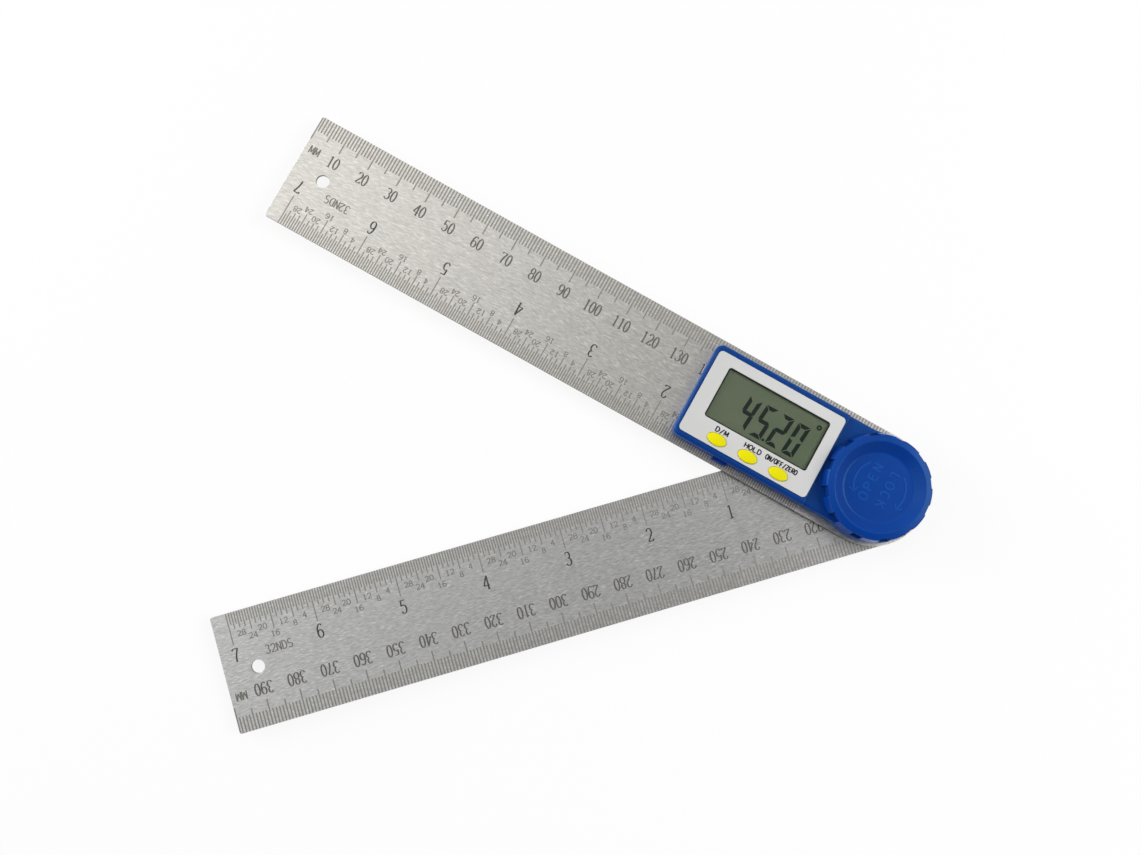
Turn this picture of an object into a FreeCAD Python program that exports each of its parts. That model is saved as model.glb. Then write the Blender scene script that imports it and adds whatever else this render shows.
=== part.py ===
"""Digital protractor: two hinged steel rulers, a display housing and a lock knob.

The origin is on the pivot axis at the underside of the rear cover. +Z points up through the
display, the upper ruler runs along -X, and +Y points to its millimetre edge. Sizes are in mm.
"""

import FreeCAD, Part
import math
import os

# Rulers
ruler_reach = 200.0
ruler_width = 35.0
ruler_thickness = 1.2
ruler_corner = 0.6
hang_hole_diameter = 4.0
hang_hole_inset = 10.0
shown_angle = 45.2

# Fits
running_clearance = 0.05
seat_clearance = 0.02
flat_gap = 0.02
free_gap = 0.3

# Hub under the rulers
cover_thickness = 0.6
cover_diameter = 30.0
cover_edge = 0.3
hub_flange_thickness = 1.4
hub_flange_diameter = 31.0
hub_boss_diameter = 20.0
hub_screw_circle = 25.0
hub_screw_count = 3
friction_ring_thickness = 0.3
friction_ring_gap = 0.5
friction_ring_edge = 1.0

# Pivot bolt
bolt_diameter = 4.0
bolt_head_flats = 7.0
bolt_head_height = 0.9

# Small screws
screw_diameter = 2.0
screw_head_diameter = 3.6
screw_head_height = 0.7
board_screw_diameter = 1.4
board_screw_head_diameter = 2.6
board_screw_head_height = 0.8
board_screw_depth = 0.8

# Housing
housing_width = 30.7
housing_corner = 2.3
housing_least_corner = 0.3
housing_wall = 1.2
housing_round_radius = 16.5
housing_flare_radius = 20.0
housing_edge_fillet = 0.9
deck_thickness = 1.05
deck_room = 0.1
web_thickness = 0.8
boss_radius = 1.9
housing_screw_back = 1.5
housing_screw_inset = 3.2
housing_screw_roof = 0.5
hook_thickness = 1.0
hook_width = 3.2
hooks = ((7.0, 0.3), (-9.6, 0.05))

# Face plate and window
plate_end_margin = 1.32
plate_side_margin = 1.9
plate_end_lip = 0.5
plate_knob_gap = 0.8
plate_corner = 1.3
plate_thickness = 0.6
plate_recess = 0.3
window_left_margin = 4.87
window_right_margin = 3.53
window_top_margin = 3.26
window_length = 34.5
window_corner = 0.9
button_band = 7.15

# Display
lens_thickness = 0.35
lens_margin = 1.9
lcd_thickness = 1.05
lcd_margin = 1.6
connector_width = 0.9
connector_height = 0.35

# Circuit board
board_thickness = 0.6
board_wall_gap = 0.3
board_screw_inset = 3.1
board_screw_gap = 0.5
board_screw_angle = 60.0
dome_diameter = 3.2
chip_size = 8.0
chip_height = 1.0
chip_gap = 3.4

# Angle sensor
rotor_overhang = 1.8
rotor_thickness = 0.6
sensor_gap = 0.15

# Buttons
button_length = 6.2
button_width = 3.5
button_pitch = 10.4
button_inset = 2.57
button_proud = 0.55
button_dome = 0.3
button_edge = 0.3
button_travel = 0.35
button_lip = 0.6
button_lip_thickness = 0.3
button_hole_gap = 0.1

# Battery tray
cell_diameter = 20.0
cell_thickness = 1.6
cell_edge = 0.15
tray_side = 1.5
tray_screw_gap = 0.35
tray_floor = 0.4
tray_tail = 1.6
tray_gap = 0.06
tray_rib = 0.8
tab_width = 4.8
tab_reach = 0.85
contact_width = 3.0
contact_thickness = 0.15
contact_foot = 1.5
contact_room = 0.29

# Lock knob
knob_inset = 0.1
knob_taper = 0.7
knob_rim_width = 2.2
knob_rim_drop = 0.4
knob_rim_fillet = 0.5
knob_dish_slope = 3.0
knob_dish_depth = 2.0
knob_dish_fillet = 1.2
knob_floor_thickness = 2.5
knob_notch_count = 12
knob_notch_width = 3.2
knob_notch_depth = 1.1
knob_notch_phase = 3.3
knob_stem_diameter = 9.0
knob_stem_length = 4.85
insert_diameter = 6.0
insert_length = 4.5
thrust_ring_inner = 14.0
thrust_ring_outer = 24.0
thrust_ring_thickness = 0.3
thrust_ring_sink = 0.15

# Levels from the underside up
hub_low = cover_thickness
lower_low = hub_low + hub_flange_thickness
lower_top = lower_low + ruler_thickness
upper_low = lower_top + friction_ring_thickness + flat_gap
upper_top = upper_low + ruler_thickness
tray_low = upper_top + tray_gap
cell_low = tray_low + tray_floor
cell_top = cell_low + cell_thickness
board_low = cell_top + contact_room
board_top = board_low + board_thickness
rotor_low = board_low - sensor_gap - rotor_thickness
lcd_low = board_top + connector_height
lens_low = lcd_low + lcd_thickness
web_top = lens_low + lens_thickness
web_low = web_top - web_thickness
plate_top = web_top + plate_thickness
housing_top = web_top + plate_recess
button_low = web_low - button_lip_thickness
dome_top = button_low - button_travel - running_clearance
deck_low = board_top + deck_room
deck_top = deck_low + deck_thickness
ring_low = deck_top - thrust_ring_sink
knob_low = ring_low + thrust_ring_thickness
dish_level = knob_low + knob_floor_thickness
rim_top = dish_level + knob_dish_depth
rim_edge = rim_top - knob_rim_drop
stem_low = knob_low - knob_stem_length
insert_top = stem_low + insert_length

# Places across the housing
half_width = housing_width / 2
plate_right = housing_round_radius + plate_knob_gap
plate_length = window_left_margin + window_length + window_right_margin
plate_left = plate_right + plate_length
plate_width = housing_width - 2 * plate_side_margin
housing_left = plate_left + plate_end_margin
deck_step = plate_right - plate_end_lip
housing_screw_x = housing_screw_back - deck_step
window_left = plate_left - window_left_margin
window_low = button_band - plate_width / 2
window_width = plate_width - window_top_margin - button_band
button_x = window_length / 2 - window_left
button_y = button_inset - plate_width / 2
tray_width = cell_diameter + 2 * tray_side
tray_inset = board_screw_inset + board_screw_head_diameter / 2 + tray_screw_gap
tray_x = tray_inset + tray_rib + running_clearance + tray_width / 2 - housing_left
chip_x = tray_x + tray_width / 2 + tray_rib + chip_gap + chip_size / 2
rotor_radius = hub_boss_diameter / 2 + rotor_overhang
board_screw_radius = rotor_radius + board_screw_gap + board_screw_head_diameter / 2
knob_skirt_radius = housing_round_radius - knob_inset
knob_rim_radius = knob_skirt_radius - knob_taper
knob_mouth_radius = knob_rim_radius - knob_rim_width
knob_dish_radius = knob_mouth_radius - knob_dish_slope


def disc(radius, low, high, x=0.0, y=0.0):
    """Upright cylinder between two levels."""
    return Part.makeCylinder(radius, high - low, FreeCAD.Vector(x, y, low))


def ring(outer_radius, inner_radius, low, high):
    """Flat ring about the pivot axis."""
    return disc(outer_radius, low, high).cut(disc(inner_radius, low, high))


def block(x_low, x_high, y_low, y_high, low, high):
    """Box between two corners."""
    corner = FreeCAD.Vector(x_low, y_low, low)
    return Part.makeBox(x_high - x_low, y_high - y_low, high - low, corner)


def upright_edges(shape):
    """Straight edges that run along Z."""
    found = []
    for edge in shape.Edges:
        ends = edge.Vertexes
        if len(ends) == 2 and math.hypot(ends[0].X - ends[1].X, ends[0].Y - ends[1].Y) < 1e-6:
            found.append(edge)
    return found


def edges_at(shape, level):
    """Edges that lie wholly at one level."""
    found = []
    for edge in shape.Edges:
        box = edge.BoundBox
        if abs(box.ZMin - level) < 1e-4 and abs(box.ZMax - level) < 1e-4:
            found.append(edge)
    return found


def rounded_block(x_low, x_high, y_low, y_high, low, high, corner):
    """Box with rounded upright corners."""
    solid = block(x_low, x_high, y_low, y_high, low, high)
    return solid.makeFillet(corner, upright_edges(solid))


def oval(x, y, length, width, low, high):
    """Upright elliptic prism."""
    curve = Part.Ellipse(FreeCAD.Vector(x, y, low), length / 2, width / 2)
    face = Part.Face(Part.Wire(curve.toShape()))
    return face.extrude(FreeCAD.Vector(0, 0, high - low))


def turned(points):
    """Solid of revolution about the pivot axis from (radius, level) points."""
    corners = [FreeCAD.Vector(radius, 0, level) for radius, level in points]
    face = Part.Face(Part.makePolygon(corners + corners[:1]))
    return face.revolve(FreeCAD.Vector(0, 0, 0), FreeCAD.Vector(0, 0, 1), 360)


def around(count, radius, start):
    """Places spaced evenly on a circle about the pivot axis."""
    angles = [math.radians(start + 360.0 * step / count) for step in range(count)]
    return [(radius * math.cos(angle), radius * math.sin(angle)) for angle in angles]


def joined(solids):
    """One compound of separate solids."""
    return Part.makeCompound(solids)


def with_lower_ruler(shape):
    """Turn a piece from the ruler's own axes to its rest angle."""
    turned_shape = shape.copy()
    turned_shape.rotate(FreeCAD.Vector(0, 0, 0), FreeCAD.Vector(0, 0, 1), shown_angle)
    return turned_shape


def ruler_blank(low, high):
    """Steel blade with one round end about the pivot and a hole near the tip."""
    half = ruler_width / 2
    blade = block(-ruler_reach, 0, -half, half, low, high)
    tip_edges = [edge for edge in upright_edges(blade) if edge.Vertexes[0].X < -ruler_reach / 2]
    blade = blade.makeFillet(ruler_corner, tip_edges).fuse(disc(half, low, high))
    hole = disc(hang_hole_diameter / 2, low, high, hang_hole_inset - ruler_reach)
    return blade.cut(hole).removeSplitter()


def countersunk_form(x, y, head_level, length, margin):
    """Flat conical head with a shank above it, widened by a margin."""
    base = FreeCAD.Vector(x, y, head_level)
    up = FreeCAD.Vector(0, 0, 1)
    shank = screw_diameter / 2 + margin
    head = Part.makeCone(screw_head_diameter / 2 + margin, shank, screw_head_height, base, up)
    return head.fuse(Part.makeCylinder(shank, length, base, up)).removeSplitter()


def countersunk_screw(x, y, head_level, length):
    """Screw with a flat conical head, flush at its head level."""
    return countersunk_form(x, y, head_level, length, 0.0)


def screw_seat(x, y, head_level, depth):
    """Space for a countersunk screw, with clearance all round."""
    return countersunk_form(x, y, head_level, depth, seat_clearance)


def hub_screw_places():
    return around(hub_screw_count, hub_screw_circle / 2, 90.0)


def housing_screw_places():
    y = half_width - housing_screw_inset
    return [(housing_screw_x, y), (housing_screw_x, -y)]


def board_screw_places():
    """Two at the far corners of the board and two beside the angle sensor."""
    corner_x = board_screw_inset - housing_left
    corner_y = half_width - board_screw_inset
    angle = math.radians(board_screw_angle)
    side_x = board_screw_radius * math.cos(angle)
    side_y = board_screw_radius * math.sin(angle)
    return [(corner_x, corner_y), (corner_x, -corner_y), (side_x, side_y), (side_x, -side_y)]


def button_places():
    return [(button_x + step * button_pitch, button_y) for step in (-1, 0, 1)]


def housing_outline(inset, level):
    """Long body with rounded corners that flares into a round end about the pivot."""
    half = half_width - inset
    round_radius = housing_round_radius - inset
    flare = housing_flare_radius + inset
    corner = max(housing_corner - inset, housing_least_corner)
    left = -housing_left + inset
    flare_y = half + flare
    flare_x = -math.sqrt((round_radius + flare) ** 2 - flare_y ** 2)
    meet = round_radius / (round_radius + flare)
    middle = (math.atan2(-flare_y, -flare_x) - math.pi / 2) / 2
    slant = corner * math.sqrt(0.5)

    def point(x, y):
        return FreeCAD.Vector(x, y, level)

    def flare_middle(side):
        x = flare_x + flare * math.cos(middle)
        return point(x, side * (flare_y + flare * math.sin(middle)))

    def corner_middle(side):
        return point(left + corner - slant, side * (half - corner + slant))

    def meeting(side):
        return point(flare_x * meet, side * flare_y * meet)

    edges = [
        Part.LineSegment(point(left + corner, half), point(flare_x, half)),
        Part.Arc(point(flare_x, half), flare_middle(1), meeting(1)),
        Part.Arc(meeting(1), point(round_radius, 0), meeting(-1)),
        Part.Arc(meeting(-1), flare_middle(-1), point(flare_x, -half)),
        Part.LineSegment(point(flare_x, -half), point(left + corner, -half)),
        Part.Arc(point(left + corner, -half), corner_middle(-1), point(left, corner - half)),
        Part.LineSegment(point(left, corner - half), point(left, half - corner)),
        Part.Arc(point(left, half - corner), corner_middle(1), point(left + corner, half)),
    ]
    return Part.Face(Part.Wire([edge.toShape() for edge in edges]))


def housing_prism(inset, low, high):
    return housing_outline(inset, low).extrude(FreeCAD.Vector(0, 0, high - low))


def make_upper_ruler():
    ruler = ruler_blank(upper_low, upper_top)
    ruler = ruler.cut(disc(hub_boss_diameter / 2 + running_clearance, upper_low, upper_top))
    for x, y in housing_screw_places():
        ruler = ruler.cut(screw_seat(x, y, upper_low, ruler_thickness))
    for y, reach in hooks:
        left = -housing_left - reach
        right = -housing_left + hook_thickness + 2 * running_clearance
        half = hook_width / 2 + running_clearance
        ruler = ruler.cut(block(left, right, y - half, y + half, upper_low, upper_top))
    return ruler


def make_lower_ruler():
    ruler = ruler_blank(lower_low, lower_top)
    ruler = ruler.cut(disc(hub_boss_diameter / 2 + seat_clearance, lower_low, lower_top))
    for x, y in hub_screw_places():
        ruler = ruler.cut(disc(screw_diameter / 2 + seat_clearance, lower_low, lower_top, x, y))
    return with_lower_ruler(ruler)


def make_rear_cover():
    cover = disc(cover_diameter / 2, 0, cover_thickness)
    return cover.makeChamfer(cover_edge, edges_at(cover, 0))


def hexagon(flats, low, high):
    """Six-sided prism about the pivot axis."""
    corners = around(6, flats / math.sqrt(3), 0.0)
    points = [FreeCAD.Vector(x, y, low) for x, y in corners]
    face = Part.Face(Part.makePolygon(points + points[:1]))
    return face.extrude(FreeCAD.Vector(0, 0, high - low))


def make_rear_hub():
    """Flange under the lower ruler with a boss that both rulers turn on."""
    hub = disc(hub_flange_diameter / 2, hub_low, lower_low)
    hub = hub.fuse(disc(hub_boss_diameter / 2, lower_low, rotor_low)).removeSplitter()
    hub = hub.cut(disc(bolt_diameter / 2 + seat_clearance, hub_low, rotor_low))
    socket = hexagon(bolt_head_flats + 2 * seat_clearance, hub_low, hub_low + bolt_head_height)
    hub = hub.cut(socket)
    well = knob_stem_diameter / 2 + running_clearance
    hub = hub.cut(disc(well, stem_low - free_gap, rotor_low))
    for x, y in hub_screw_places():
        hub = hub.cut(screw_seat(x, y, hub_low, hub_flange_thickness))
    return with_lower_ruler(hub)


def make_hub_screws():
    length = lower_top - hub_low
    screws = [countersunk_screw(x, y, hub_low, length) for x, y in hub_screw_places()]
    return with_lower_ruler(joined(screws))


def make_pivot_bolt():
    head = hexagon(bolt_head_flats, hub_low, hub_low + bolt_head_height)
    shank = disc(bolt_diameter / 2, hub_low, insert_top - free_gap)
    return with_lower_ruler(head.fuse(shank).removeSplitter())


def make_friction_ring():
    top = lower_top + friction_ring_thickness
    outer = ruler_width / 2 - friction_ring_edge
    inner = hub_boss_diameter / 2 + friction_ring_gap
    return ring(outer, inner, lower_top, top)


def make_rotor_disc():
    hole = knob_stem_diameter / 2 + free_gap
    return ring(rotor_radius, hole, rotor_low, rotor_low + rotor_thickness)


def housing_shell():
    """Outer form: a raised display end and a lower deck around the knob."""
    deck = housing_prism(0, upper_top, deck_top)
    deck = deck.makeFillet(housing_edge_fillet, edges_at(deck, deck_top))
    display_end = block(-2 * housing_left, -deck_step, -half_width, half_width,
                        upper_top, housing_top)
    raised = housing_prism(0, upper_top, housing_top).common(display_end)
    rim = [edge for edge in edges_at(raised, housing_top)
           if edge.BoundBox.XMin < -deck_step - flat_gap]
    raised = raised.makeFillet(housing_edge_fillet, rim)
    return raised.fuse(deck).removeSplitter()


def housing_rooms():
    """Space under the deck, and the taller space under the display."""
    lower_room = housing_prism(housing_wall, upper_top, deck_low)
    display_end = block(-housing_left, -deck_step - housing_wall, -half_width, half_width,
                        deck_low, web_low)
    upper_room = housing_prism(housing_wall, deck_low, web_low).common(display_end)
    return [lower_room, upper_room]


def tray_walls():
    """Two ribs that guide the battery tray across the housing."""
    inner = half_width - housing_wall / 2
    half = tray_width / 2 + running_clearance
    ribs = []
    for side in (-1, 1):
        near = tray_x + side * half
        far = near + side * tray_rib
        ribs.append(block(min(near, far), max(near, far), -inner, inner, upper_top, board_low))
    return ribs


def housing_bosses():
    """Screw bosses, and the hooks that reach into the ruler's slots."""
    roof = deck_low + deck_thickness / 2
    bosses = [disc(boss_radius, upper_top, roof, x, y) for x, y in housing_screw_places()]
    for x, y in board_screw_places():
        top = web_low if x < -deck_step else roof
        bosses.append(disc(board_screw_head_diameter / 2, board_top, top, x, y))
    for y, reach in hooks:
        left = running_clearance - housing_left
        half = hook_width / 2
        bosses.append(block(left, left + hook_thickness, y - half, y + half,
                            upper_low + running_clearance, upper_top + hook_thickness))
    return bosses


def window_block(margin, low, high):
    """Box as large as the display window with a margin all round."""
    return block(-window_left - margin, window_length - window_left + margin,
                 window_low - margin, window_low + window_width + margin, low, high)


def plate_block(margin, low, high):
    """Rounded block as large as the face plate with a margin all round."""
    half = plate_width / 2 + margin
    return rounded_block(-plate_left - margin, margin - plate_right, -half, half,
                         low, high, plate_corner)


def button_openings(low, high):
    gap = 2 * button_hole_gap
    return [oval(x, y, button_length + gap, button_width + gap, low, high)
            for x, y in button_places()]


def housing_openings():
    """Plate recess, display opening, tray slot, pivot openings and screw holes."""
    tray_half = tray_width / 2 + running_clearance
    tray_roof = cell_top + tray_gap + running_clearance
    cuts = [
        plate_block(seat_clearance, web_top, plate_top),
        window_block(lens_margin + seat_clearance, web_low, web_top),
        block(tray_x - tray_half, tray_x + tray_half, -housing_width, 0, upper_top, tray_roof),
        disc(knob_stem_diameter / 2 + 2 * running_clearance, deck_low, deck_top),
        disc(thrust_ring_outer / 2 + running_clearance, ring_low, deck_top),
    ]
    thread = screw_diameter / 2 + seat_clearance
    for x, y in housing_screw_places():
        cuts.append(disc(thread, upper_top, deck_top - housing_screw_roof, x, y))
    thread = board_screw_diameter / 2 + seat_clearance
    for x, y in board_screw_places():
        cuts.append(disc(thread, board_top, board_top + board_screw_depth, x, y))
    return cuts + button_openings(web_low, web_top)


def make_housing():
    housing = housing_shell()
    for room in housing_rooms():
        housing = housing.cut(room)
    for piece in tray_walls() + housing_bosses():
        housing = housing.fuse(piece)
    for cut in housing_openings():
        housing = housing.cut(cut)
    return housing.removeSplitter()


def make_housing_screws():
    length = deck_top - housing_screw_roof - seat_clearance - upper_low
    return joined([countersunk_screw(x, y, upper_low, length) for x, y in housing_screw_places()])


def make_face_plate():
    """Thin plate with a display window and three button holes."""
    plate = plate_block(0, web_top, plate_top)
    window = window_block(0, web_top, plate_top)
    plate = plate.cut(window.makeFillet(window_corner, upright_edges(window)))
    for opening in button_openings(web_top, plate_top):
        plate = plate.cut(opening)
    return plate


def make_display_lens():
    return window_block(lens_margin, lens_low, web_top)


def make_lcd_panel():
    return window_block(lcd_margin, lcd_low, lens_low)


def make_lcd_connectors():
    """Two conductive strips between the board and the long edges of the panel."""
    left = -window_left - lcd_margin
    right = window_length - window_left + lcd_margin
    low = window_low - lcd_margin
    high = window_low + window_width + lcd_margin
    return joined([
        block(left, right, low, low + connector_width, board_top, lcd_low),
        block(left, right, high - connector_width, high, board_top, lcd_low),
    ])


def make_circuit_board():
    """Board that fills the housing and rings the pivot as the fixed half of the sensor."""
    board = housing_prism(housing_wall + board_wall_gap, board_low, board_top)
    board = board.cut(disc(knob_stem_diameter / 2 + free_gap, board_low, board_top))
    for x, y in housing_screw_places():
        board = board.cut(disc(boss_radius + free_gap, board_low, board_top, x, y))
        side = half_width if y > 0 else -half_width
        board = board.cut(block(x - boss_radius - free_gap, x + boss_radius + free_gap,
                                min(y, side), max(y, side), board_low, board_top))
    for x, y in board_screw_places():
        board = board.cut(disc(board_screw_diameter / 2 + seat_clearance,
                               board_low, board_top, x, y))
    return board


def board_screw(x, y):
    head = disc(board_screw_head_diameter / 2, board_low - board_screw_head_height, board_low, x, y)
    top = board_top + board_screw_depth - seat_clearance
    return head.fuse(disc(board_screw_diameter / 2, board_low, top, x, y)).removeSplitter()


def make_board_screws():
    return joined([board_screw(x, y) for x, y in board_screw_places()])


def make_switch_domes():
    """Snap domes under the buttons."""
    radius = dome_diameter / 2
    height = dome_top - board_top
    ball = (radius ** 2 + height ** 2) / (2 * height)
    domes = []
    for x, y in button_places():
        sphere = Part.makeSphere(ball, FreeCAD.Vector(x, y, dome_top - ball))
        domes.append(disc(radius, board_top, dome_top, x, y).common(sphere))
    return joined(domes)


def make_controller_chip():
    half = chip_size / 2
    return block(chip_x - half, chip_x + half, -half, half, board_low - chip_height, board_low)


def make_button(x, y):
    """Oval cap with a crowned top and a lip that the housing holds down."""
    top = plate_top + button_proud
    cap = oval(x, y, button_length, button_width, button_low, top)
    ball = ((button_length / 2) ** 2 + button_dome ** 2) / (2 * button_dome)
    cap = cap.common(Part.makeSphere(ball, FreeCAD.Vector(x, y, top - ball)))
    crown = [edge for edge in cap.Edges if edge.BoundBox.ZMin > plate_top]
    cap = cap.makeFillet(button_edge, crown)
    lip = oval(x, y, button_length + 2 * button_lip, button_width + 2 * button_lip,
               button_low, web_low)
    return cap.fuse(lip).removeSplitter()


def make_battery_tray():
    """Drawer for the coin cell, with a pull tab outside the housing."""
    half = tray_width / 2
    back = cell_diameter / 2 + tray_tail
    tray = block(tray_x - half, tray_x + half, -half_width, back, tray_low, cell_top)
    tab_half = tab_width / 2
    tray = tray.fuse(block(tray_x - tab_half, tray_x + tab_half, -half_width - tab_reach,
                           -half_width, tray_low, cell_top))
    pocket = disc(cell_diameter / 2 + running_clearance, cell_low, cell_top, tray_x)
    notch_half = contact_width / 2 + free_gap
    notch = block(tray_x - notch_half, tray_x + notch_half, 0, back, cell_low, cell_top)
    return tray.cut(pocket).cut(notch).removeSplitter()


def make_coin_cell():
    cell = disc(cell_diameter / 2, cell_low, cell_top, tray_x)
    return cell.makeFillet(cell_edge, edges_at(cell, cell_top))


def make_contact_negative():
    """Leaf under the board with a pad over the middle of the cell."""
    foot = board_low - contact_thickness
    reach = cell_diameter / 4
    half = contact_width / 2
    leaf = block(tray_x - reach, tray_x + reach, -half, half, foot, board_low)
    return leaf.fuse(disc(half, cell_top + tray_gap, foot, tray_x)).removeSplitter()


def make_contact_positive():
    """Upright strip behind the edge of the cell."""
    near = cell_diameter / 2 + free_gap
    half = contact_width / 2
    upright = block(tray_x - half, tray_x + half, near, near + contact_thickness,
                    cell_low + free_gap, board_low)
    foot = block(tray_x - half, tray_x + half, near, near + contact_foot,
                 board_low - contact_thickness, board_low)
    return upright.fuse(foot).removeSplitter()


def make_thrust_ring():
    return ring(thrust_ring_outer / 2, thrust_ring_inner / 2, ring_low, knob_low)


def make_lock_knob():
    """Dished knob with a notched skirt and a stem that reaches into the hub."""
    knob = turned([
        (0, stem_low),
        (knob_stem_diameter / 2, stem_low),
        (knob_stem_diameter / 2, knob_low),
        (knob_skirt_radius, knob_low),
        (knob_rim_radius, rim_edge),
        (knob_mouth_radius, rim_top),
        (knob_dish_radius, dish_level),
        (0, dish_level),
    ])
    knob = knob.makeFillet(knob_rim_fillet, edges_at(knob, rim_top) + edges_at(knob, rim_edge))
    knob = knob.makeFillet(knob_dish_fillet, edges_at(knob, dish_level))
    bottom = knob_skirt_radius - knob_notch_depth
    half = knob_notch_width / 2
    for step in range(knob_notch_count):
        notch = block(bottom, 2 * bottom, -half, half, knob_low, rim_top)
        angle = knob_notch_phase + 360.0 * step / knob_notch_count
        notch.rotate(FreeCAD.Vector(0, 0, 0), FreeCAD.Vector(0, 0, 1), angle)
        knob = knob.cut(notch)
    socket = disc(insert_diameter / 2 + seat_clearance, stem_low, insert_top)
    return knob.cut(socket)


def make_knob_insert():
    bore = bolt_diameter / 2 + running_clearance
    return ring(insert_diameter / 2, bore, stem_low, insert_top)


def make_parts():
    parts = {
        "upper_ruler": make_upper_ruler(),
        "lower_ruler": make_lower_ruler(),
        "rear_cover": make_rear_cover(),
        "rear_hub": make_rear_hub(),
        "hub_screws": make_hub_screws(),
        "pivot_bolt": make_pivot_bolt(),
        "friction_ring": make_friction_ring(),
        "rotor_disc": make_rotor_disc(),
        "housing": make_housing(),
        "housing_screws": make_housing_screws(),
        "face_plate": make_face_plate(),
        "display_lens": make_display_lens(),
        "lcd_panel": make_lcd_panel(),
        "lcd_connectors": make_lcd_connectors(),
        "circuit_board": make_circuit_board(),
        "board_screws": make_board_screws(),
        "switch_domes": make_switch_domes(),
        "controller_chip": make_controller_chip(),
        "battery_tray": make_battery_tray(),
        "coin_cell": make_coin_cell(),
        "contact_negative": make_contact_negative(),
        "contact_positive": make_contact_positive(),
        "thrust_ring": make_thrust_ring(),
        "lock_knob": make_lock_knob(),
        "knob_insert": make_knob_insert(),
    }
    names = ("button_mode", "button_hold", "button_power")
    for name, (x, y) in zip(names, button_places()):
        parts[name] = make_button(x, y)
    return parts


os.makedirs("parts", exist_ok=True)
for node, shape in make_parts().items():
    shape.exportStep("parts/" + node + ".step")
    print(node, len(shape.Solids), shape.isValid(), round(shape.Volume, 3))
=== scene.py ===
import bpy
import math
from mathutils import Matrix, Vector


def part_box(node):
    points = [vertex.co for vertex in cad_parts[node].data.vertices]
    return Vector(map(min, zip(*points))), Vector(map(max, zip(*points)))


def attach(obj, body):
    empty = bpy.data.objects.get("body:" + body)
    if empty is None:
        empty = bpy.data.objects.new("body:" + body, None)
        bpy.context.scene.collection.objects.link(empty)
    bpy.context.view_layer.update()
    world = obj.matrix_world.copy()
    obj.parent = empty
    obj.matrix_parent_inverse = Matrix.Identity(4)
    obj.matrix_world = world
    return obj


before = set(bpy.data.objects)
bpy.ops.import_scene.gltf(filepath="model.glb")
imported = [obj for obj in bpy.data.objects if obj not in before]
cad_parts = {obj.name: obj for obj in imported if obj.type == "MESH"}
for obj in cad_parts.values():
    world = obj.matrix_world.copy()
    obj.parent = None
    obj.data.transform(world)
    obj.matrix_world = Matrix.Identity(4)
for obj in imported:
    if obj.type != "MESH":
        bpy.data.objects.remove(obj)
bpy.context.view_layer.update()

MM = 0.001

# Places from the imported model
SHOWN_ANGLE = math.radians(45.2)
upper_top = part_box("upper_ruler")[1].z
lower_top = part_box("lower_ruler")[1].z
plate_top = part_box("face_plate")[1].z
lcd_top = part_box("lcd_panel")[1].z
lens_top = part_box("display_lens")[1].z
KNOB_DISH_LEVEL = 11.47 * MM

# Heights that marks stand proud of their surface
ETCH_HEIGHT = 0.008 * MM
PRINT_HEIGHT = 0.012 * MM
SEGMENT_HEIGHT = 0.02 * MM
RELIEF_HEIGHT = 0.1 * MM
SUNK = 0.002 * MM
STROKE_STEP = 0.002 * MM


def linear(red, green, blue):
    """Scene colour for a screen colour given as 0 to 255."""
    def one(value):
        share = value / 255
        return share / 12.92 if share <= 0.04045 else ((share + 0.055) / 1.055) ** 2.4
    return (one(red), one(green), one(blue), 1.0)


def emptied_tree(owner):
    """Node tree of a new material or world, with its first nodes removed."""
    owner.use_nodes = True
    owner.node_tree.nodes.clear()
    return owner.node_tree


def mix_values(tree, factor, first, second):
    """Value between two others, each a number or a socket."""
    node = tree.nodes.new("ShaderNodeMix")
    tree.links.new(factor, node.inputs[0])
    for value, socket in ((first, node.inputs[2]), (second, node.inputs[3])):
        if isinstance(value, float):
            socket.default_value = value
        else:
            tree.links.new(value, socket)
    return node.outputs[0]


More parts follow.
